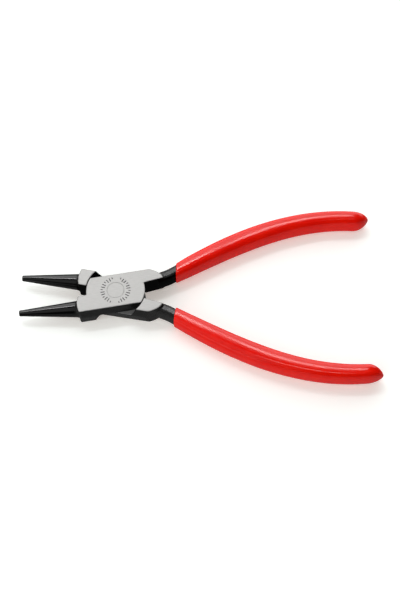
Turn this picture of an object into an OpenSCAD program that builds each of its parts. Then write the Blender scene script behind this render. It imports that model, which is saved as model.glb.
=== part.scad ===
// Round nose pliers: two forged halves on a riveted lap joint, with dip-coated handles.
// The origin is on the pivot axis, in the plane of the back ground face.
// +X runs towards the handles, +Z comes out of the front ground face, and the jaws point along -X.
// Each half is drawn as it lies when the jaws are shut, and is then turned to the rest opening.

/* [Head] */
// Thickness across the two ground faces
head_t = 10; // [9:0.5:11]
// Width of the head at the edge of a ground face
head_w = 15.6; // [15:0.2:17]
// How far the forged flanks bulge out at mid thickness
flank_bulge = 0.6; // [0.2:0.1:1]
// Radius of a lap plate's round ends at its ground face
lap_r = 12.7; // [12.4:0.1:13]
// How far those ends slope in from the ground face to the lap
lap_slope = 1.2; // [0.6:0.1:1.6]
// Running gap between a plate's round end and the shoulder beside it
shoulder_gap = 0.18; // [0.1:0.02:0.3]
// Running gap between the two lap plates
lap_gap = 0.02; // [0.01:0.01:0.05]

/* [Jaws] */
// From the pivot to the tip of a jaw
jaw_len = 42.4; // [36:0.2:46]
// From the pivot to the root of the cone
jaw_root_x = 17.4; // [17:0.2:19]
// Radius of the cone at its root
jaw_root_r = 3.6; // [3:0.1:4]
// Radius of the cone at its tip
jaw_tip_r = 1.25; // [0.8:0.05:2]
// Radius of the fillet between the cone and its block
jaw_fillet = 0.9; // [0.4:0.1:1]
// Distance of each jaw from the mid line when the pliers are shut
jaw_clear = 0.05; // [0.02:0.01:0.1]

/* [Rivet] */
// Radius of the rivet's shank
shank_r = 2.5; // [2:0.1:3]
// Radius of the rivet's countersunk heads at the ground faces
rivet_head_r = 3.7; // [3.4:0.1:4]
// Depth of each countersunk head
rivet_head_h = 1.6; // [1.2:0.1:2]
// Running clearance of the rivet in the back half
rivet_gap = 0.04; // [0.02:0.01:0.08]

/* [Handles] */
// Overall length with the jaws shut
overall_len = 160; // [150:1:170]
// From the pivot to the mouth of a grip
grip_mouth_x = 27; // [26:0.2:30]
// Thickness of a grip
grip_t = 10; // [9:0.5:11]
// Thickness of the plastic coat on a tang
coat_t = 1; // [0.8:0.1:1.2]
// How much thinner a grip is at its mouth
mouth_thin = 0.8; // [0:0.1:1.2]
// Corner radius of a grip's section
grip_corner = 2.4; // [1.8:0.1:2.8]
// Corner radius of a tang's section
tang_corner = 1.4; // [1:0.1:1.6]

/* [Pose] */
// Opening between the halves at rest
rest_open = 20; // [0:1:60]

/* [Hidden] */
round_fn = 96;
mid_z = head_t / 2;
// Reach of the blocks that cut or bound the head; it is wider than half the head.
reach = 12;

// The cone leans so that its inner side runs along the mid line.
cone_lean = atan((jaw_root_r - jaw_tip_r) / (jaw_len - jaw_root_x));
cone_len = (jaw_len - jaw_root_x) / cos(cone_lean) - jaw_tip_r * tan(cone_lean);
cone_root_y = -jaw_clear - jaw_root_r * cos(cone_lean);
fillet_steps = 6;

// The ground face bulges towards the cone on one circle, and ends in another at the handle.
block_front_r = 10.8;
block_front_c = [-6.5, -4.4];
block_back_r = 6.3;
block_back_c = [14.6, 1.6];
// The inner edge of the handle block runs through these points.
block_inner = [[0, 1.5], [12.6, 1.55], [24, 2.8]];

// The handle's centre line is a cubic, and so is the width of a grip along Y.
handle_x0 = 15;
handle_x1 = overall_len - jaw_len;
handle_y = [1.3, 14.8, 28, 16.4];
grip_w = [6.8, 9.8, 7.8, 7.1];
// The grip has reached its full thickness here.
full_t_x = 50;
// Length of a grip's rounded end, how far it hooks outwards, and how blunt it is each way.
tip_len = 8.5;
tip_hook = 1.7;
tip_hook_power = 1.6;
tip_power_w = 1.25;
tip_power_t = 0.95;
// The rounded end stops at this angle, in a small flat.
tip_flat_a = 12;
// The tang's neck is a straight bar in front of the grip. These are its start, the place where
// it begins to blend into the handle's curve, its height there, its slope and its width along Y.
tang_root_x = 19;
neck_x = 21;
neck_y = 4.15;
neck_slope = 0.25;
neck_w = 4.3;
tang_t = grip_t - 2 * coat_t;
// The tang stops this far short of the grip's end.
tang_short = 5;

// Rings along a handle and round a grip's end, and steps in each rounded corner
body_rings = 22;
tip_rings = 8;
corner_steps = 4;

// --- Functions ------------------------------------------------------------------------------

// Cubic through four control heights, for t from 0 to 1
function cubic(c, t) =
    c[0] * pow(1 - t, 3) + 3 * c[1] * t * pow(1 - t, 2)
    + 3 * c[2] * t * t * (1 - t) + c[3] * pow(t, 3);

// How far x lies along a stretch, held between 0 and 1
function along(x, from, to) = min(1, max(0, (x - from) / (to - from)));

// The same, with a smooth start and end
function ease(x, from, to) = let (t = along(x, from, to)) t * t * (3 - 2 * t);

// A value that steps evenly from one end of a stretch to the other
function between(from, to, i, steps) = from + (to - from) * i / steps;

// Centre line of a grip, with the hook at its end
function grip_y(x) =
    cubic(handle_y, (x - handle_x0) / (handle_x1 - handle_x0))
    + tip_hook * pow(along(x, handle_x1 - tip_len, handle_x1), tip_hook_power);

function grip_width(x) = cubic(grip_w, along(x, grip_mouth_x, handle_x1 - tip_len));

function grip_thickness(x) = grip_t - mouth_thin * (1 - ease(x, grip_mouth_x, full_t_x));

// Size of the rounded end at x, from 1 on the body to 0 at the very end
function tip_size(x) = sin(acos(along(x, handle_x1 - tip_len, handle_x1)));

// Centre line and width of the tang, which fills the grip and narrows to the neck
function tang_y(x) =
    let (b = ease(x, neck_x, grip_mouth_x))
    (neck_y + neck_slope * (x - neck_x)) * (1 - b) + grip_y(x) * b;

function tang_width(x) =
    let (b = ease(x, neck_x, grip_mouth_x))
    neck_w * (1 - b) + (grip_width(x) - 2 * coat_t) * b;

// One corner of a rounded rectangle
function corner(cx, cy, r, from) =
    [for (i = [0:corner_steps]) let (a = between(from, from + 90, i, corner_steps))
        [cx + r * cos(a), cy + r * sin(a)]];

// Rounded rectangle about the origin, anticlockwise
function section(w, h, r) =
    let (x = w / 2 - r, y = h / 2 - r)
    concat(corner(x, y, r, 0), corner(-x, y, r, 90), corner(-x, -y, r, 180), corner(x, -y, r, 270));

// A section that stands square to X, its corners held to what its sides leave room for
function ring(x, y, w, h, r) =
    let (fit_r = 0.9 * min(r, w / 2, h / 2))
    [for (p = section(w, h, fit_r)) [x, y + p[0], mid_z + p[1]]];

function grip_ring(x) =
    let (w = grip_width(x) * pow(tip_size(x), tip_power_w))
    let (t = grip_thickness(x) * pow(tip_size(x), tip_power_t))
    ring(x, grip_y(x), w, t, grip_corner);

function tang_ring(x) = ring(x, tang_y(x), tang_width(x), tang_t, tang_corner);

// --- Shared shapes --------------------------------------------------------------------------

// Solid skin over a list of rings, closed with a flat cap at each end
module loft(rings) {
    count = len(rings[0]);
    last = len(rings) - 1;
    points = [for (r = rings) each r];
    sides = [for (i = [0:last - 1], j = [0:count - 1]) let (k = (j + 1) % count)
        [i * count + j, (i + 1) * count + j, (i + 1) * count + k, i * count + k]];
    first_cap = [for (j = [0:count - 1]) j];
    last_cap = [for (j = [1:count]) last * count + count - j];
    polyhedron(points, concat(sides, [first_cap, last_cap]), convexity = 6);
}

// Everything between the two ground faces and the drafted flanks
module flank_bar() {
    edge = head_w / 2;
    crest = edge + flank_bulge;
    outline = [
        [edge, 0], [crest, mid_z], [edge, head_t], [-edge, head_t], [-crest, mid_z], [-edge, 0]
    ];
    translate([-2 * reach, 0, 0])
        rotate([90, 0, 90])
            linear_extrude(4 * reach) polygon(outline);
}

// The full-thickness block that carries the cone
module jaw_block() {
    intersection() {
        translate([-2 * reach, -reach, 0]) cube([2 * reach, reach - jaw_clear, head_t]);
        translate(block_front_c) cylinder(r = block_front_r, h = head_t, $fn = round_fn);
    }
}

// The full-thickness block that carries the handle
module handle_block() {
    outline = concat(block_inner, [[2 * reach, reach], [0, reach]]);
    intersection() {
        linear_extrude(head_t) polygon(outline);
        union() {
            translate(block_back_c) cylinder(r = block_back_r, h = head_t, $fn = round_fn);
            cube([block_back_c[0], reach, head_t]);
        }
    }
}

// The round tapered jaw, with a fillet at its root and a flat tip
module jaw_cone() {
    collar_r = jaw_root_r + jaw_fillet;
    fillet = [for (i = [0:fillet_steps]) let (a = between(0, 90, i, fillet_steps))
        [collar_r - jaw_fillet * sin(a), jaw_fillet * (1 - cos(a))]];
    outline = concat(
        [[0, -2 * jaw_fillet], [collar_r, -2 * jaw_fillet]],
        fillet,
        [[jaw_tip_r, cone_len], [0, cone_len]]
    );
    intersection() {
        translate([-jaw_root_x, cone_root_y, mid_z])
            rotate([0, 0, -cone_lean])
                rotate([0, -90, 0])
                    rotate_extrude($fn = round_fn) polygon(outline);
        translate([-4 * reach, -reach, 0]) cube([4 * reach, reach - jaw_clear, head_t]);
    }
}

// The rivet's outline, grown by a clearance on its sides
module rivet_body(gap) {
    r = shank_r + gap;
    head_r = rivet_head_r + gap;
    outline = [
        [0, 0], [head_r, 0], [r, rivet_head_h],
        [r, head_t - rivet_head_h], [head_r, head_t], [0, head_t]
    ];
    rotate_extrude($fn = round_fn) polygon(outline);
}

// The bar that runs from the head to near the end of the grip
module tang() {
    end_x = handle_x1 - tang_short;
    loft([for (i = [0:body_rings]) tang_ring(between(tang_root_x, end_x, i, body_rings))]);
}

// The half's own lap plate, before its flanks are cut
module lap_plate() {
    translate([0, 0, mid_z])
        cylinder(r1 = lap_r - lap_slope, r2 = lap_r, h = mid_z, $fn = round_fn);
}

// The space behind it, where the other half's plate turns
module lap_space() {
    face_r = lap_r + shoulder_gap;
    floor_z = mid_z + lap_gap / 2;
    outline = [[0, -1], [face_r, -1], [face_r, 0], [face_r - lap_slope, floor_z], [0, floor_z]];
    rotate_extrude($fn = round_fn) polygon(outline);
}

// One forging, as it lies in the shut pliers with its lap plate in front
module forging(gap) {
    difference() {
        union() {
            intersection() {
                flank_bar();
                union() {
                    lap_plate();
                    jaw_block();
                    handle_block();
                }
            }
            jaw_cone();
            tang();
        }
        lap_space();
        rivet_body(gap);
    }
}

// One sleeve: up the inside of the coat, over its lip and back along the outside
module sleeve() {
    deep_x = handle_x1 - tang_short;
    tip_x = handle_x1 - tip_len;
    inside = [for (i = [0:body_rings]) tang_ring(between(deep_x, grip_mouth_x, i, body_rings))];
    body = [for (i = [0:body_rings]) grip_ring(between(grip_mouth_x, tip_x, i, body_rings))];
    end = [for (i = [1:tip_rings])
        grip_ring(tip_x + tip_len * cos(between(90, tip_flat_a, i, tip_rings)))];
    loft(concat(inside, body, end));
}

// Turns a half over, so that its lap plate is at the back
module turned_over() {
    translate([0, 0, head_t]) rotate([180, 0, 0]) children();
}

// --- Sub-parts ------------------------------------------------------------------------------

module front_half() {
    color("dimgray") rotate([0, 0, rest_open / 2]) forging(0);
}

module back_half() {
    color("dimgray") rotate([0, 0, -rest_open / 2]) turned_over() forging(rivet_gap);
}

module rivet() {
    color("lightgray") rotate([0, 0, rest_open / 2]) rivet_body(0);
}

module front_grip() {
    color("crimson") rotate([0, 0, rest_open / 2]) sleeve();
}

module back_grip() {
    color("crimson") rotate([0, 0, -rest_open / 2]) turned_over() sleeve();
}

front_half();
back_half();
rivet();
front_grip();
back_grip();
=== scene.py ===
"""Looks of the round nose pliers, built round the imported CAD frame.

Shapes are worked out in millimetres, in the frame that the CAD uses: the pivot is on Z, the
back ground face lies in z = 0 and the handles point along +X. They become metres in new_piece().
Each half is shaped as it lies in the shut pliers, with its lap plate in front, and is then turned
to its place at rest. The forging is one distance function, and its mesh is drawn onto it.
"""

import math

import bpy
import numpy as np
from mathutils import Matrix, Quaternion, Vector


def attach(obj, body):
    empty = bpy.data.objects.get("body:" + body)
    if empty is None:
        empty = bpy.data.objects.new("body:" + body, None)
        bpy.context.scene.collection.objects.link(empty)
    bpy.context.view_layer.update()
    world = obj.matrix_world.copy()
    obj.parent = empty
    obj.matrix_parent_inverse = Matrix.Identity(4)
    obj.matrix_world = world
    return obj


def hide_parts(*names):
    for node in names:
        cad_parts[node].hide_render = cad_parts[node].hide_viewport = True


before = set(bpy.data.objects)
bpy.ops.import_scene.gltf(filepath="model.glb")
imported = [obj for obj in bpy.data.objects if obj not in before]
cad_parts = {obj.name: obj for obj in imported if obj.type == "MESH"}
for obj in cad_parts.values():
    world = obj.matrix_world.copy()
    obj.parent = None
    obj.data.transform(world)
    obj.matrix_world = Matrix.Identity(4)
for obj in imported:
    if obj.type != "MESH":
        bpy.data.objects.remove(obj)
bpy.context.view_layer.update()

MM = 0.001

# --- Dimensions, as the CAD has them -------------------------------------------------------------

HEAD_T = 10.0
MID_Z = HEAD_T / 2
HEAD_W = 15.6
FLANK_BULGE = 0.6
LAP_R = 12.7
LAP_SLOPE = 1.2
SHOULDER_GAP = 0.18
LAP_GAP = 0.02

JAW_LEN = 42.4
JAW_ROOT_X = 17.4
JAW_ROOT_R = 3.6
JAW_TIP_R = 1.25
JAW_CLEAR = 0.05
CONE_LEAN = math.atan((JAW_ROOT_R - JAW_TIP_R) / (JAW_LEN - JAW_ROOT_X))
CONE_LEN = (JAW_LEN - JAW_ROOT_X) / math.cos(CONE_LEAN) - JAW_TIP_R * math.tan(CONE_LEAN)
CONE_ROOT = (-JAW_ROOT_X, -JAW_CLEAR - JAW_ROOT_R * math.cos(CONE_LEAN))

SHANK_R = 2.5
RIVET_HEAD_R = 3.7
RIVET_HEAD_H = 1.6
RIVET_GAP = 0.04

BLOCK_FRONT_R = 10.8
BLOCK_FRONT_C = (-6.5, -4.4)
BLOCK_BACK_R = 6.3
BLOCK_BACK_C = (14.6, 1.6)
BLOCK_INNER = ((0, 1.5), (12.6, 1.55), (24, 2.8))

OVERALL_LEN = 160.0
HANDLE_X0 = 15.0
HANDLE_X1 = OVERALL_LEN - JAW_LEN
HANDLE_Y = (1.3, 14.8, 28, 16.4)
GRIP_W = (6.8, 9.8, 7.8, 7.1)
GRIP_MOUTH_X = 27.0
GRIP_T = 10.0
MOUTH_THIN = 0.8
FULL_T_X = 50.0
COAT_T = 1.0
TIP_HOOK = 1.7
TIP_HOOK_POWER = 1.6
TANG_ROOT_X = 19.0
NECK_X = 21.0
NECK_Y = 4.15
NECK_SLOPE = 0.25
NECK_W = 4.3
TANG_T = GRIP_T - 2 * COAT_T
TANG_CORNER = 1.4
TANG_SHORT = 5.0

REST_OPEN = 20.0
HALF_TURN = REST_OPEN / 2

# --- Rounding and fit that the CAD leaves out ----------------------------------------------------

FACE_EDGE_R = 0.28
LAP_EDGE_R = 0.3
LAP_FILLET_R = 0.45
BLOCK_FILLET_R = 0.3
JAW_FILLET_R = 0.9
TANG_FILLET_R = 0.95
TIP_EDGE_R = 0.22
RIVET_EDGE = 0.055
NECK_BULGE = 0.3
CONE_INSIDE = 3.0
BLOCK_SPREAD = 0.25
BLOCK_CORNER = ((16.7, 7.8), (20.0, 5.5))
CORNER_R = 1.2

# --- The grips' skin -----------------------------------------------------------------------------

# The tips start nearer the end than the CAD's, and narrow faster
TIP_LEN = 7.4
TIP_POWER_W = 1.7
TIP_POWER_T = 1.05

GRIP_POWER = 3.2
GRIP_SPREAD = 0.3
GRIP_WEDGE = 0.038
WEDGE_X = (40.0, 75.0)
WEDGE_TOP = 0.25
SPREAD_X = (60.0, 85.0)
TIP_SAG = 0.9
TANG_POWER = 6.0
CAVITY_SINK = 0.1
LIP_R = 0.4

# What keeps the skin inside the CAD's box, across it and at the tips
INSIDE_BOX = 0.06
TIP_TRIM = 0.14

# How much further on the front sleeve's mouth is, and how far it slants
MOUTH_STEP = 0.4
MOUTH_LEAN = 0.6
LEAN_FADE = 6.0

CAVITY_RINGS = 24
LIP_RINGS = 6
BODY_RINGS = 110
TIP_RINGS = 26

# --- The stamped ring ----------------------------------------------------------------------------

STAMP_R = 5.6
STAMP_LEN = 1.7
STAMP_W = 0.4
STAMP_DEPTH = 0.25
STAMP_COUNT = 30

# How much shorter the marks are, by turns, and which of them are left out
STAMP_SHORTER = (0, 0, 0.8)
STAMP_GAPS = (6, 7, 21, 22)

# --- Meshing -------------------------------------------------------------------------------------

RING_POINTS = 72
LATHE_POINTS = 128
HARD_EDGE = 50
CUTTER_PAST = 1.0

# Size of a quad, how much longer the quads are where a grip hides the tang, and from where
VOXEL = 0.22
HIDDEN_SQUEEZE = 4.0
HIDDEN_X = 30.0

# Box that holds a forging, the step for gradients, and how points are drawn onto the surface
FORGING_BOX = ((-43, -9, 0), (113, 28, 10))
TINY = 0.02
PROJECT_STEPS = 6
LEAST_SLOPE_SQUARED = 0.1

# --- Finishes, with colours in linear light ------------------------------------------------------

GROUND_COLOURS = ((0.351, 0.347, 0.338, 1), (0.438, 0.432, 0.421, 1))
OXIDE_COLOURS = ((0.006, 0.006, 0.006, 1), (0.016, 0.016, 0.015, 1))
# Near black of the polished cones, also painted on faces turned toward the mid line as shade
CONE_AND_SHADE_COLOUR = (0.001, 0.001, 0.001, 1)
LAP_COLOURS = ((0.20, 0.20, 0.20, 1), (0.36, 0.36, 0.36, 1))
GRIP_COLOURS = ((0.84, 0.005, 0.001, 1), (0.90, 0.008, 0.001, 1))
PAPER_COLOUR = (0.79, 0.87, 0.87, 1)
PAPER_GLOW = (0.405, 0.365, 0.335, 1)

OXIDE_ROUGH = (0.17, 0.24)
CONE_ROUGH = 0.11
BARE_ROUGH = (0.36, 0.46)
GRIP_ROUGH = (0.13, 0.17)
PAPER_ROUGH = 0.9

OXIDE_GLOSS = 0.36
# Faces turned toward the mid line lose their gloss, as painted shade
INNER_SHADE_GLOSS = 0.02
CONE_GLOSS = 0.7
BARE_GLOSS = 0.5
BARE_METALLIC = 0.45

# Share of the relief that shows on the cones and on bare steel
CONE_RELIEF = 0.2
BARE_RELIEF = 0.5

# Where a surface counts as flat, and as facing the mid line where shade is painted, by one part of
# its normal
FLAT_NORMAL = (0.8, 0.95)
INNER_NORMAL = (0.3, 0.7)

# How wide the change to the cone is, how deep the faces are ground, and how near the lap is
CONE_BLEND = 0.5
GROUND_DEPTH = (0.16, 0.04)
LAP_NEAR = LAP_GAP * 4

# Stretch of the noise that runs from one end of a pattern to the other
PATTERN = (0.3, 0.7)
SCALE_PATTERN = (0.3, 0.75)
TURNING_PATTERN = (0.35, 0.65)

# --- Studio and camera ---------------------------------------------------------------------------

# These are in metres
FLOOR_SIZE = 6.0
FLOOR_Z = -0.00002
PANEL_DISTANCE = 0.9
CAMERA_CLIP = 0.01

# How far from level, as the sine of an angle, the room changes its brightness
HORIZON = 0.05
LIT_POINT = (36, 0, 5)

CAMERA_AZIMUTH = -0.462
CAMERA_ELEVATION = 62.435
CAMERA_ROLL = 0.201
CAMERA_DISTANCE = 414.28
CAMERA_TARGET = (36.306, -2.383, 5.0)
CAMERA_LENS = 57.36
CAMERA_SENSOR = 36


# --- Functions of the handle's curve -------------------------------------------------------------


def cubic(heights, t):
    """Cubic through four control heights, for t from 0 to 1."""
    a, b, c, d = heights
    s = 1 - t
    return a * s**3 + 3 * b * t * s * s + 3 * c * t * t * s + d * t**3


def along(x, start, end):
    """How far x lies along a stretch, held between 0 and 1."""
    return np.clip((x - start) / (end - start), 0, 1)


def ease(x, start, end):
    """The same, with a smooth start and end."""
    t = along(x, start, end)
    return t * t * (3 - 2 * t)


def grip_y(x):
    """The grip's centre line, with a hook at its tip."""
    hook = TIP_HOOK * along(x, HANDLE_X1 - TIP_LEN, HANDLE_X1) ** TIP_HOOK_POWER
    return cubic(HANDLE_Y, (x - HANDLE_X0) / (HANDLE_X1 - HANDLE_X0)) + hook


def grip_width(x):
    """How wide the grip is in plan, up to its tip."""
    return cubic(GRIP_W, along(x, GRIP_MOUTH_X, HANDLE_X1 - TIP_LEN))


def grip_thickness(x):
    """How thick the grip is, which is less at its mouth."""
    return GRIP_T - MOUTH_THIN * (1 - ease(x, GRIP_MOUTH_X, FULL_T_X))


def tang_y(x):
    """The tang's centre line, straight at the neck and then inside the grip."""
    b = ease(x, NECK_X, GRIP_MOUTH_X)
    return (NECK_Y + NECK_SLOPE * (x - NECK_X)) * (1 - b) + grip_y(x) * b


def tang_width(x):
    """How wide the tang is in plan, where the grip leaves its coat's thickness all round."""
    b = ease(x, NECK_X, GRIP_MOUTH_X)
    return NECK_W * (1 - b) + (grip_width(x) - 2 * COAT_T) * b


# --- Distance functions --------------------------------------------------------------------------


def meet(a, b, r):
    """Where both shapes are, with the edge between them rounded to radius r."""
    return np.minimum(np.maximum(a, b), -r) + np.hypot(np.maximum(a + r, 0), np.maximum(b + r, 0))


def join(a, b, r):
    """Either shape, with a fillet of radius r between them."""
    return -meet(-a, -b, r)


def half_plane(x, y, a, b):
    """Distance from the line through a and b, negative on its left."""
    dx, dy = b[0] - a[0], b[1] - a[1]
    return ((x - a[0]) * dy - (y - a[1]) * dx) / math.hypot(dx, dy)


def forging(p):
    """Distance from the surface of a half without its rivet hole, negative inside."""
    x, y, z = p.T
    rise = z - MID_Z
    slope_cos = math.cos(math.atan(LAP_SLOPE / MID_Z))
    flank_cos = math.cos(math.atan(FLANK_BULGE / MID_Z))

    # The plan: a round plate with a block for the jaw and a block for the handle
    plate = (np.hypot(x, y) - LAP_R + LAP_SLOPE * (HEAD_T - z) / MID_Z) * slope_cos
    front = np.hypot(x - BLOCK_FRONT_C[0], y - BLOCK_FRONT_C[1]) - BLOCK_FRONT_R
    jaw_block = meet(meet(front, y + JAW_CLEAR, FACE_EDGE_R), x, FACE_EDGE_R)
    inner = np.maximum(half_plane(x, y, *BLOCK_INNER[:2]), half_plane(x, y, *BLOCK_INNER[1:]))
    back = np.hypot(x - BLOCK_BACK_C[0], y - BLOCK_BACK_C[1]) - BLOCK_BACK_R - BLOCK_SPREAD
    back = meet(back, half_plane(x, y, *BLOCK_CORNER[::-1]), CORNER_R)
    back = join(x - BLOCK_BACK_C[0], back, BLOCK_FILLET_R)
    handle_block = meet(np.maximum(inner, -x), back, FACE_EDGE_R)
    head = join(join(plate, jaw_block, BLOCK_FILLET_R), handle_block, BLOCK_FILLET_R)

    # Cut to the drafted flanks and the two ground faces
    flank = np.abs(y) - HEAD_W / 2 - FLANK_BULGE * (1 - np.abs(rise) / MID_Z)
    head = meet(head, flank * flank_cos, FACE_EDGE_R)
    head = meet(head, np.abs(rise) - MID_Z, FACE_EDGE_R)

    # The cone, with its fillet held to its own side of the mid line
    step = -(x - CONE_ROOT[0]) * math.cos(CONE_LEAN) + (y - CONE_ROOT[1]) * math.sin(CONE_LEAN)
    side = (x - CONE_ROOT[0]) * math.sin(CONE_LEAN) + (y - CONE_ROOT[1]) * math.cos(CONE_LEAN)
    cone = np.hypot(side, rise) - JAW_ROOT_R + np.maximum(step, 0) * math.tan(CONE_LEAN)
    cone = meet(cone * math.cos(CONE_LEAN), step - CONE_LEN, TIP_EDGE_R)
    jaw = join(head, np.maximum(cone, -step - CONE_INSIDE), JAW_FILLET_R)
    body = np.minimum(head, np.maximum(jaw, y + JAW_CLEAR))

    # The tang, whose neck bulges a little at mid thickness
    slope = (tang_y(x + TINY) - tang_y(x - TINY)) / (2 * TINY)
    bulge = NECK_BULGE * (1 - along(x, NECK_X, GRIP_MOUTH_X)) * (1 - (rise / MID_Z) ** 2)
    across = (np.abs(y - tang_y(x)) - tang_width(x) / 2 - bulge) / np.hypot(1, slope)
    tang = meet(across, np.abs(rise) - TANG_T / 2, TANG_CORNER)
    tang = meet(tang, x - HANDLE_X1 + TANG_SHORT, TIP_EDGE_R)
    body = join(body, np.maximum(tang, TANG_ROOT_X - x), TANG_FILLET_R)

    # The space where the other half's plate turns
    space = (np.hypot(x, y) - LAP_R - SHOULDER_GAP + LAP_SLOPE * z / MID_Z) * slope_cos
    space = meet(space, z - MID_Z - LAP_GAP / 2, LAP_FILLET_R)
    return meet(body, -space, LAP_EDGE_R)


def steepest(distance, p):
    """Gradient of a distance function."""
    steps = TINY * np.eye(3)
    return np.stack([distance(p + s) - distance(p - s) for s in steps], 1) / (2 * TINY)


# --- Meshes --------------------------------------------------------------------------------------


def turned(points, degrees):
    """Points turned about Z."""
    c, s = math.cos(math.radians(degrees)), math.sin(math.radians(degrees))
    return points @ np.array(((c, s, 0), (-s, c, 0), (0, 0, 1)))


def new_piece(name, points, faces, turn, over=False):
    """Makes an object from points in mm, turned over if it is at the back, and turned about Z."""
    p = np.array(points, float)
    if over:
        p = p * (1, -1, -1) + (0, 0, HEAD_T)
    mesh = bpy.data.meshes.new(name)
    mesh.from_pydata((turned(p, turn) * MM).tolist(), [], faces)
    mesh.validate()
    mesh.shade_smooth()
    piece = bpy.data.objects.new(name, mesh)
    bpy.context.collection.objects.link(piece)
    return piece


def skin(distance, low, high):
    """Quads on a distance function's zero surface, with a point in each cell that it crosses."""
    grid = [np.arange(a - VOXEL, b + 2 * VOXEL, VOXEL) for a, b in zip(low, high)]
    grid[0] = grid[0] + (HIDDEN_SQUEEZE - 1) * np.maximum(grid[0] - HIDDEN_X, 0)
    grid[0] = grid[0][grid[0] < high[0] + 2 * HIDDEN_SQUEEZE * VOXEL]
    shape = [len(g) for g in grid]
    inside = np.empty(shape, bool)
    for i, x in enumerate(grid[0]):
        y, z = np.meshgrid(grid[1], grid[2], indexing="ij")
        sheet = np.stack((np.full(y.size, x), y.ravel(), z.ravel()), 1)
        inside[i] = (distance(sheet) < 0).reshape(y.shape)

    corners = [inside[i:shape[0] - 1 + i, j:shape[1] - 1 + j, k:shape[2] - 1 + k]
               for i in (0, 1) for j in (0, 1) for k in (0, 1)]
    crossed = np.any(corners, 0) & ~np.all(corners, 0)
    number = np.full(crossed.shape, -1)
    number[crossed] = np.arange(crossed.sum())
    cells = np.argwhere(crossed)
    points = np.stack([(g[c] + g[c + 1]) / 2 for g, c in zip(grid, cells.T)], 1)

    faces = []
    unit = np.eye(3, dtype=int)
    for axis in range(3):
        change = np.diff(inside.astype(int), axis=axis)
        at = np.argwhere(change)
        leaves = change[tuple(at.T)] < 0
        a, b = unit[(axis + 1) % 3], unit[(axis + 2) % 3]
        quad = np.stack([number[tuple((at - s).T)] for s in (a + b, b, 0 * a, a)], 1)
        faces.append(np.where(leaves[:, None], quad, quad[:, ::-1]))
    faces = np.concatenate(faces)

    for _ in range(PROJECT_STEPS):
        g = steepest(distance, points)
        slope_squared = np.maximum((g * g).sum(1), LEAST_SLOPE_SQUARED)
        points = points - (distance(points) / slope_squared)[:, None] * g
    return points, faces


def superellipse(x, y, w, h, power, lean=0.0, wedge=0.0, sag=0.0):
    """Ring of points square to X, anticlockwise seen from +X.

    Its +Y side is further along X by the lean, and thicker by the wedge. The sag lowers it all."""
    a = np.linspace(0, 2 * math.pi, RING_POINTS, endpoint=False)
    u, v = (np.sign(f) * np.abs(f) ** (2 / power) for f in (np.cos(a), np.sin(a)))
    v = v * (1 + wedge * (u - WEDGE_TOP))
    return np.stack((x + lean * u, y + w / 2 * u, MID_Z - sag + h / 2 * v), 1)


def loft(rings, pole_at_end=False):
    """Points and faces of a skin over rings, capped flat at the start and flat or at a pole."""
    count = len(rings[0])
    points = np.concatenate(rings)
    faces = []
    for i in range(len(rings) - 1):
        for j in range(count):
            k = (j + 1) % count
            faces.append((i * count + j, i * count + k, (i + 1) * count + k, (i + 1) * count + j))
    faces.append(tuple(reversed(range(count))))
    last = (len(rings) - 1) * count
    if pole_at_end:
        points = np.concatenate((points, rings[-1].mean(0)[None]))
        faces += [(last + j, last + (j + 1) % count, len(points) - 1) for j in range(count)]
    else:
        faces.append(tuple(last + j for j in range(count)))
    return points, faces


def lathe(low):
    """Solid turned about Z that is the same at both faces of the head.

    Its (radius, height) points are those of the lower end, from the face inwards."""
    a = np.linspace(0, 2 * math.pi, LATHE_POINTS, endpoint=False)
    high = [(r, HEAD_T - h) for r, h in reversed(low)]
    return loft([np.stack((r * np.cos(a), r * np.sin(a), np.full(LATHE_POINTS, h)), 1)
                 for r, h in low + high])


def boxes(places, width, height):
    """Upright boxes, each given as a centre, a turn about Z in degrees and a length."""
    unit = np.array([(i, j, k) for i in (-0.5, 0.5) for j in (-0.5, 0.5) for k in (-0.5, 0.5)])
    sides = ((0, 1, 3, 2), (4, 6, 7, 5), (0, 4, 5, 1), (2, 3, 7, 6), (0, 2, 6, 4), (1, 5, 7, 3))
    points, faces = [], []
    for centre, turn, length in places:
        faces += [tuple(len(points) + i for i in side) for side in sides]
        points += (turned(unit * (length, width, height), turn) + centre).tolist()
    return points, faces


def cut(piece, *cutters):
    """Takes the cutters out of a piece, and keeps hard edges only where it was cut."""
    for cutter in cutters:
        m = piece.modifiers.new("cut", "BOOLEAN")
        m.object = cutter
        m.operation = "DIFFERENCE"
        m.solver = "MANIFOLD"
    bpy.context.view_layer.update()
    depsgraph = bpy.context.evaluated_depsgraph_get()
    done = bpy.data.meshes.new_from_object(piece.evaluated_get(depsgraph))
    piece.modifiers.clear()
    piece.data = done
    done.shade_smooth()
    done.set_sharp_from_angle(angle=math.radians(HARD_EDGE))
    for cutter in cutters:
        bpy.data.objects.remove(cutter)


# --- Pieces --------------------------------------------------------------------------------------


def rivet_hole(gap, over, turn):
    """Cutter for the rivet's hole, whose mouth flares a little."""
    head = RIVET_HEAD_R + gap
    outside = (head + RIVET_EDGE + CUTTER_PAST, -CUTTER_PAST)
    low = [outside, (head, RIVET_EDGE), (SHANK_R + gap, RIVET_HEAD_H)]
    return new_piece("hole", *lathe(low), turn, over)


def stamp_cutter(turn):
    """Cutter for a ring of plain index marks round the rivet, two long and one short by turns."""
    places = []
    for i in range(STAMP_COUNT):
        if i in STAMP_GAPS:
            continue
        a = 360 * i / STAMP_COUNT
        shorter = STAMP_SHORTER[i % len(STAMP_SHORTER)]
        r = STAMP_R + shorter / 2
        at = (r * math.cos(math.radians(a)), r * math.sin(math.radians(a)), HEAD_T)
        places.append((at, a, STAMP_LEN - shorter))
    return new_piece("stamp", *boxes(places, STAMP_W, 2 * STAMP_DEPTH), turn)


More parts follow.
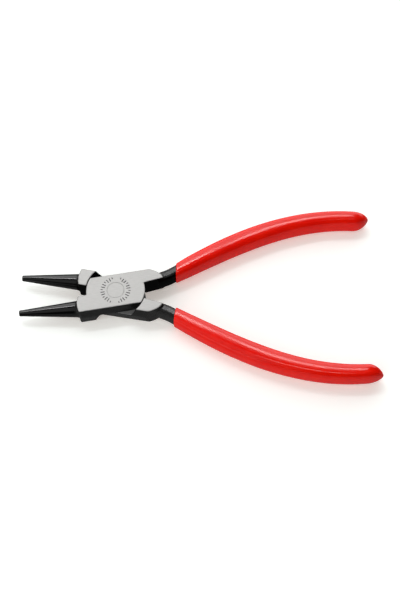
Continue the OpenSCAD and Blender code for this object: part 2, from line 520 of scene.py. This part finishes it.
def make_rivet():
    """Rivet with a countersunk head at each face, whose rims leave a fine groove."""
    rim = [(RIVET_HEAD_R - 2 * RIVET_EDGE, 0), (RIVET_HEAD_R - RIVET_EDGE, RIVET_EDGE)]
    piece = new_piece("rivet_pin", *lathe(rim + [(SHANK_R, RIVET_HEAD_H)]), HALF_TURN)
    piece.data.set_sharp_from_angle(angle=math.radians(HARD_EDGE / 2))
    return piece


def grip_rings(mouth_x, mouth_lean, tip_sag):
    """Rings of a sleeve: up the cavity, round the lip and along the outside to the tip."""
    deep_x = HANDLE_X1 - TANG_SHORT
    tip_x = HANDLE_X1 - TIP_LEN

    def lean_at(x):
        return mouth_lean * (1 - ease(x, mouth_x, mouth_x + LEAN_FADE))

    rings = [superellipse(x, tang_y(x), tang_width(x) - CAVITY_SINK, TANG_T - CAVITY_SINK,
                          TANG_POWER, lean_at(x))
             for x in np.linspace(deep_x, mouth_x, CAVITY_RINGS)]
    lip = [(mouth_x + LIP_R * (1 - math.cos(a)), 2 * LIP_R * (1 - math.sin(a)))
           for a in np.linspace(0, math.pi / 2, LIP_RINGS)]
    body = [(x, 0) for x in np.linspace(mouth_x + LIP_R, tip_x, BODY_RINGS)[1:]]
    end = [(tip_x + (TIP_LEN - TIP_TRIM) * math.cos(a), 0)
           for a in np.linspace(math.pi / 2, 0, TIP_RINGS)[1:-1]]
    for x, sink in lip + body + end:
        size = math.sin(math.acos(along(x, tip_x, HANDLE_X1)))
        spread = GRIP_SPREAD * (1 - ease(x, *SPREAD_X)) - INSIDE_BOX
        w = (grip_width(x) + spread - sink) * size**TIP_POWER_W
        h = (grip_thickness(x) - sink) * size**TIP_POWER_T
        wedge = GRIP_WEDGE * ease(x, *WEDGE_X)
        sag = tip_sag * (1 - size)
        rings.append(superellipse(x, grip_y(x), w, h, GRIP_POWER, lean_at(x), wedge, sag))
    return rings


# --- Materials -----------------------------------------------------------------------------------


class Graph:
    """Short calls for building one material's nodes."""

    def __init__(self, name):
        self.material = bpy.data.materials.new(name)
        self.material.use_nodes = True
        self.tree = self.material.node_tree
        self.shader = self.tree.nodes["Principled BSDF"]

    def node(self, kind, *inputs, **settings):
        """A new node's first output."""
        made = self.tree.nodes.new("ShaderNode" + kind)
        for key, value in settings.items():
            setattr(made, key, value)
        for socket, value in zip(made.inputs, inputs):
            self.feed(socket, value)
        return made.outputs[0]

    def feed(self, socket, value):
        """Links an output to a socket, or sets the socket to a value."""
        if isinstance(value, bpy.types.NodeSocket):
            self.tree.links.new(value, socket)
        else:
            socket.default_value = value

    def math(self, operation, *values):
        """One operation on one or two numbers."""
        return self.node("Math", *values, operation=operation)

    def ramp(self, value, low, high, to_low=0.0, to_high=1.0):
        """A value carried smoothly from one range to another, and held there."""
        return self.node("MapRange", value, low, high, to_low, to_high,
                         interpolation_type="SMOOTHSTEP")

    def place(self, scale=(1, 1, 1), turn=0.0):
        """The point's place on the object, in millimetres times scale."""
        where = self.node("TexCoord").node.outputs["Object"]
        per_mm = tuple(s / MM for s in scale)
        return self.node("Mapping", where, (0, 0, 0), (0, 0, math.radians(turn)), per_mm)

    def noise(self, place, scale, detail=3.0, roughness=0.55):
        """Smooth noise at a place, from 0 to 1."""
        made = self.node("TexNoise")
        self.feed(made.node.inputs["Vector"], place)
        self.feed(made.node.inputs["Scale"], scale)
        self.feed(made.node.inputs["Detail"], detail)
        self.feed(made.node.inputs["Roughness"], roughness)
        return made.node.outputs[0]

    def mix(self, share, a, b):
        """Two numbers or two colours mixed."""
        made = self.node("Mix").node
        colours = any(isinstance(v, tuple) or getattr(v, "type", None) == "RGBA" for v in (a, b))
        made.data_type = "RGBA" if colours else "FLOAT"
        kind = "Color" if colours else "Float"
        sockets = {s.identifier: s for s in (*made.inputs, *made.outputs)}
        self.feed(sockets["Factor_Float"], share)
        self.feed(sockets["A_" + kind], a)
        self.feed(sockets["B_" + kind], b)
        return sockets["Result_" + kind]

    def bump(self, height, strength, distance):
        """Roughens the shader's normal, by a distance in millimetres."""
        made = self.node("Bump")
        self.feed(made.node.inputs["Height"], height)
        self.feed(made.node.inputs["Strength"], strength)
        self.feed(made.node.inputs["Distance"], distance * MM)
        self.feed(self.shader.inputs["Normal"], made.node.outputs[0])

    def set(self, **inputs):
        """Feeds the shader's inputs, which are named with _ for each space."""
        for name, value in inputs.items():
            self.feed(self.shader.inputs[name.replace("_", " ")], value)


def steel_material(name, grain_turn):
    """Black oxide, ground bare on the two faces and turned bare in the lap. Faces turned toward
    the mid line are painted near black, with little gloss, as shade.
    """
    g = Graph(name)
    spot = g.node("SeparateXYZ", g.place())
    x, y, z = spot.node.outputs
    rise = g.math("ABSOLUTE", g.math("SUBTRACT", z, MID_Z))
    radius = g.math("SQRT", g.math("ADD", g.math("MULTIPLY", x, x), g.math("MULTIPLY", y, y)))
    normal = g.node("SeparateXYZ", g.node("NewGeometry").node.outputs["Normal"]).node.outputs
    flat = g.ramp(g.math("ABSOLUTE", normal[2]), *FLAT_NORMAL)
    # Faces turned toward the mid line are painted dark and dull, as shade between the halves
    inward = g.math("MULTIPLY", g.math("SIGN", y), g.math("MULTIPLY", normal[1], -1.0))
    inner = g.ramp(inward, *INNER_NORMAL)
    forward = g.math("MULTIPLY", x, -1.0)
    cone = g.ramp(forward, JAW_ROOT_X - CONE_BLEND, JAW_ROOT_X + CONE_BLEND)
    polished_cone_and_painted_shade = g.math("MAXIMUM", inner, cone)

    ground = g.ramp(rise, *(MID_Z - depth for depth in GROUND_DEPTH))
    lap = g.math("LESS_THAN", rise, LAP_NEAR)
    lap = g.math("MULTIPLY", g.math("MULTIPLY", lap, flat), g.math("LESS_THAN", radius, LAP_R))

    along_grain = g.place(scale=(0.35, 9, 1), turn=grain_turn)
    grain = g.noise(along_grain, scale=1.0, detail=4.0, roughness=0.6)
    cloud = g.noise(g.place(), scale=0.35, detail=3.0)
    scale = g.noise(g.place(), scale=4.5, detail=4.0, roughness=0.65)
    turning = g.noise(g.node("CombineXYZ", radius, 0.0, 0.0), scale=5.0, detail=2.0)

    ground_colour = g.mix(g.ramp(grain, *PATTERN), *GROUND_COLOURS)
    oxide_colour = g.mix(g.ramp(scale, *SCALE_PATTERN), *OXIDE_COLOURS)
    # The polished cones are truly dark; faces toward the mid line are painted dark as shade
    oxide_colour = g.mix(polished_cone_and_painted_shade, oxide_colour, CONE_AND_SHADE_COLOUR)
    oxide_rough = g.mix(cone, g.ramp(cloud, *PATTERN, *OXIDE_ROUGH), CONE_ROUGH)
    oxide_gloss = g.mix(cone, g.mix(inner, OXIDE_GLOSS, INNER_SHADE_GLOSS), CONE_GLOSS)
    lap_colour = g.mix(g.ramp(turning, *TURNING_PATTERN), *LAP_COLOURS)

    bare = g.math("MAXIMUM", ground, lap)
    g.set(
        Base_Color=g.mix(ground, g.mix(lap, oxide_colour, lap_colour), ground_colour),
        Metallic=g.math("MULTIPLY", bare, BARE_METALLIC),
        Roughness=g.mix(bare, oxide_rough, g.ramp(grain, *PATTERN, *BARE_ROUGH)),
        Specular_IOR_Level=g.mix(bare, oxide_gloss, BARE_GLOSS),
    )
    relief = g.mix(cone, scale, g.math("MULTIPLY", scale, CONE_RELIEF))
    relief = g.mix(bare, relief, g.math("MULTIPLY", grain, BARE_RELIEF))
    g.bump(relief, strength=0.2, distance=0.02)
    return g.material


def grip_material(name):
    """Dip-coated gloss plastic, slightly uneven as it ran when it set."""
    g = Graph(name)
    runs = g.noise(g.place(scale=(0.3, 1, 1)), scale=0.25, detail=2.0)
    tint = g.noise(g.place(), scale=0.12, detail=2.0)
    g.set(
        Base_Color=g.mix(g.ramp(tint, *PATTERN), *GRIP_COLOURS),
        Roughness=g.ramp(runs, *PATTERN, *GRIP_ROUGH),
    )
    g.bump(runs, strength=0.008, distance=0.2)
    return g.material


def paper_material(name):
    """Matt white paper, with a glow of its own so that its shadows stay pale and warm."""
    g = Graph(name)
    g.set(
        Base_Color=PAPER_COLOUR,
        Roughness=PAPER_ROUGH,
        Emission_Color=PAPER_GLOW,
        Emission_Strength=1.0,
    )
    return g.material


def wear(piece, material):
    """Gives a piece its only material."""
    piece.data.materials.clear()
    piece.data.materials.append(material)


# --- The pliers ----------------------------------------------------------------------------------

forged_points, forged_faces = skin(forging, *FORGING_BOX)

front_half = new_piece("front_forging", forged_points, forged_faces, HALF_TURN)
cut(front_half, rivet_hole(0, False, HALF_TURN), stamp_cutter(HALF_TURN))
wear(front_half, steel_material("front_steel", HALF_TURN))
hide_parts("front_half")
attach(front_half, "front")

back_half = new_piece("back_forging", forged_points, forged_faces, -HALF_TURN, over=True)
cut(back_half, rivet_hole(RIVET_GAP, True, -HALF_TURN))
wear(back_half, steel_material("back_steel", -HALF_TURN))
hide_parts("back_half")
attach(back_half, "back")

rivet = make_rivet()
wear(rivet, front_half.data.materials[0])
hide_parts("rivet")
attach(rivet, "front")

red = grip_material("dipped_red")
for body, mouth_x, mouth_lean, sag, turn in (
    ("front", GRIP_MOUTH_X + MOUTH_STEP, MOUTH_LEAN, TIP_SAG, HALF_TURN),
    ("back", GRIP_MOUTH_X, 0.0, -TIP_SAG, -HALF_TURN),
):
    sleeve_points, sleeve_faces = loft(grip_rings(mouth_x, mouth_lean, sag), pole_at_end=True)
    grip = new_piece(body + "_sleeve", sleeve_points, sleeve_faces, turn, over=body == "back")
    wear(grip, red)
    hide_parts(body + "_grip")
    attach(grip, body)


# --- Studio --------------------------------------------------------------------------------------


def toward(azimuth, elevation):
    """Direction from angles in degrees, where azimuth 0 is the camera's side."""
    a, e = math.radians(azimuth), math.radians(elevation)
    return Vector((math.sin(a) * math.cos(e), -math.cos(a) * math.cos(e), math.sin(e)))


def add_floor():
    """White paper. Gloss reflects the darker studio below the horizon in its place."""
    half = FLOOR_SIZE / 2
    mesh = bpy.data.meshes.new("floor")
    corners = [(i * half, j * half, FLOOR_Z) for i, j in ((-1, -1), (1, -1), (1, 1), (-1, 1))]
    mesh.from_pydata(corners, [], [(0, 1, 2, 3)])
    floor = bpy.data.objects.new("floor", mesh)
    bpy.context.collection.objects.link(floor)
    wear(floor, paper_material("paper"))
    floor.visible_glossy = False


def add_panel(name, azimuth, elevation, spread, tall, radiance, roll=0, glossy=True):
    """Soft light that faces the lit point, and covers spread by tall degrees as seen from it.

    A panel that isn't glossy lights the pliers without showing in their reflections."""
    light = bpy.data.lights.new(name, "AREA")
    light.shape = "RECTANGLE"
    light.size = 2 * PANEL_DISTANCE * math.tan(math.radians(spread / 2))
    light.size_y = 2 * PANEL_DISTANCE * math.tan(math.radians(tall / 2))
    light.energy = radiance * math.pi * light.size * light.size_y
    away = toward(azimuth, elevation)
    panel = bpy.data.objects.new(name, light)
    panel.location = Vector(LIT_POINT) * MM + away * PANEL_DISTANCE
    rolled = away.to_track_quat("Z", "Y") @ Quaternion((0, 0, 1), math.radians(roll))
    panel.rotation_euler = rolled.to_euler()
    panel.visible_glossy = glossy
    bpy.context.collection.objects.link(panel)


def add_studio(above, below):
    """Dim room, with its own brightness above and below the horizon."""
    world = bpy.data.worlds.new("studio")
    world.use_nodes = True
    tree = world.node_tree
    where = tree.nodes.new("ShaderNodeTexCoord")
    split = tree.nodes.new("ShaderNodeSeparateXYZ")
    level = tree.nodes.new("ShaderNodeMapRange")
    tree.links.new(where.outputs["Generated"], split.inputs[0])
    tree.links.new(split.outputs["Z"], level.inputs["Value"])
    span = {"From Min": -HORIZON, "From Max": HORIZON, "To Min": below, "To Max": above}
    for name, value in span.items():
        level.inputs[name].default_value = value
    tree.links.new(level.outputs[0], tree.nodes["Background"].inputs["Strength"])
    tree.nodes["Background"].inputs["Color"].default_value = (1, 1, 1, 1)
    bpy.context.scene.world = world


def add_camera():
    """Camera above the pliers, in front of them, that looks down at them."""
    back = toward(CAMERA_AZIMUTH, CAMERA_ELEVATION)
    a, roll = math.radians(CAMERA_AZIMUTH), math.radians(CAMERA_ROLL)
    right = Vector((math.cos(a), math.sin(a), 0))
    up = back.cross(right)
    right, up = (math.cos(roll) * right + math.sin(roll) * up,
                 math.cos(roll) * up - math.sin(roll) * right)
    camera = bpy.data.objects.new("camera", bpy.data.cameras.new("camera"))
    camera.data.sensor_width = CAMERA_SENSOR
    camera.data.lens = CAMERA_LENS
    camera.data.clip_start = CAMERA_CLIP
    camera.matrix_world = Matrix((right, up, back)).transposed().to_4x4()
    camera.location = Vector(CAMERA_TARGET) * MM + back * CAMERA_DISTANCE * MM
    bpy.context.collection.objects.link(camera)
    bpy.context.scene.camera = camera


add_camera()
add_floor()
add_studio(above=0.02, below=0.17)
add_panel("back_panel", azimuth=180, elevation=31, spread=100, tall=54, radiance=1.7, roll=22)
add_panel("strip_left", azimuth=-152, elevation=62, spread=28, tall=4, radiance=12.5, roll=-14)
add_panel("strip_right", azimuth=161, elevation=60.5, spread=12, tall=4, radiance=9.0, roll=24)
add_panel("key", azimuth=-175, elevation=68, spread=50, tall=24, radiance=1.2, glossy=False)
add_panel("left_fill", azimuth=-55, elevation=0, spread=60, tall=26, radiance=0.5)
add_panel("front_glow", azimuth=-45, elevation=50, spread=40, tall=30, radiance=0.3)
add_panel("left_glow", azimuth=-51, elevation=75, spread=25, tall=20, radiance=0.35)
add_panel("glint", azimuth=36, elevation=83.6, spread=15, tall=4, radiance=9.0, roll=-36)
add_panel("soft_fill", azimuth=-50, elevation=28, spread=70, tall=40, radiance=1.85,
          glossy=False)

bpy.context.scene.view_settings.view_transform = "Standard"
